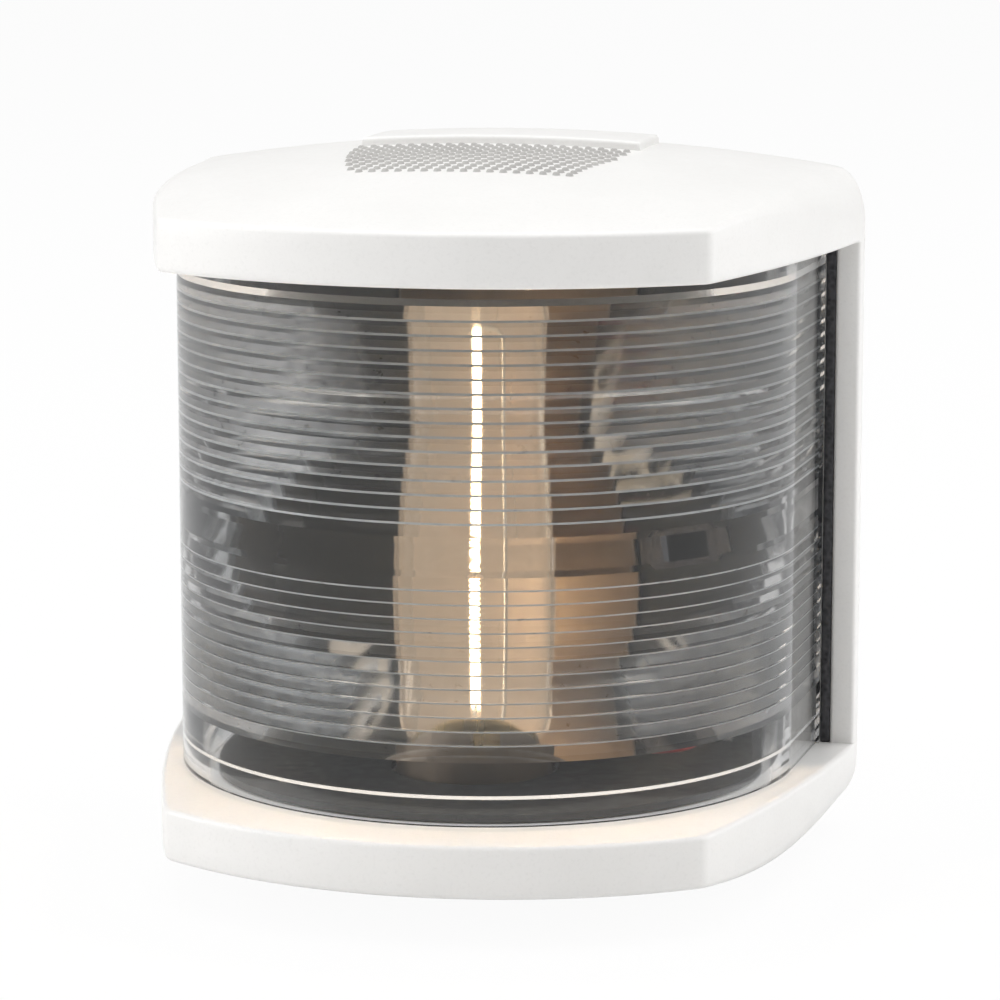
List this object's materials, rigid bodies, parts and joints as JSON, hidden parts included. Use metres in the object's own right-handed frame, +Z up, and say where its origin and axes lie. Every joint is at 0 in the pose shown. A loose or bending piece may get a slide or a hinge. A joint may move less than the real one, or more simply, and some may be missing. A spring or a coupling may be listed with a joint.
{
  "type": "navigation light",
  "caption": "Boat navigation light: white cap-and-base shroud with a half-round clear prism lens that pulls forward off a wall plate carrying a bayonet lamp and its terminals.",
  "frame": {"origin": "centre of the mounting face, where the back plate sits on the wall", "axes": "+X to the right as seen from the front, +Y into the wall so the light shines toward -Y, +Z up"},
  "size_m": [0.0792, 0.0624, 0.08],
  "materials": {
    "shell_white": "white moulded plastic, fine surface texture",
    "plate_white": "off-white moulded plastic",
    "lens_clear": "clear moulded plastic, prism rings inside",
    "seal_black": "black foam and rubber seals",
    "liner_black": "satin black plastic",
    "brass": "plated brass, lightly dulled",
    "steel": "stainless steel",
    "insulator": "cream insulating board",
    "terminal_plastic": "light grey plastic",
    "lead_red": "red flexible cable sheath",
    "lead_black": "black flexible cable sheath",
    "bulb_glass": "clear lamp glass",
    "vitrite": "dark glass insulator",
    "solder": "dull solder and lead-in wire",
    "filament": "glowing tungsten coil"
  },
  "bodies": {
    "base": {"back_plate": "plate_white", "back_gasket": "seal_black", "cable_grommet": "seal_black", "liner": "liner_black", "lamp_bracket": "brass", "bracket_screws": "steel", "holder_shell": "brass", "holder_insulator": "insulator", "contact_springs": "steel", "terminal_block": "terminal_plastic", "terminal_clamps": "brass", "terminal_screws": "steel", "lead_red": "lead_red", "lead_black": "lead_black"},
    "shroud": {"housing": "shell_white", "lens": "lens_clear", "side_seals": "seal_black", "screw_insert": "brass", "screw_washer": "seal_black"},
    "screw": {"retaining_screw": "steel"},
    "bulb": {"bulb_glass": "bulb_glass", "bulb_cap": "brass", "bulb_pins": "brass", "bulb_insulator": "vitrite", "bulb_contacts": "solder", "bulb_stem": "bulb_glass", "bulb_wires": "solder", "bulb_filament": "filament"},
    "contacts": {"contact_pins": "brass"}
  },
  "joints": [
    {"name": "shroud_pull", "type": "slide", "parent": "base", "child": "shroud", "axis": [0, -1, 0], "range_m": [0, 0.06]},
    {"name": "screw_turn", "type": "hinge", "parent": "shroud", "child": "screw", "pos_m": [0, -0.0085, -0.0385], "axis": [0, 0, 1], "continuous": true},
    {"name": "lamp_turn", "type": "hinge", "parent": "base", "child": "bulb", "pos_m": [0, -0.0305, -0.0155], "axis": [0, 0, 1], "range_deg": [0, 20]},
    {"name": "contact_press", "type": "slide", "parent": "base", "child": "contacts", "axis": [0, 0, -1], "range_m": [0, 0.0009], "deforming": ["contact_springs"]}
  ]
}
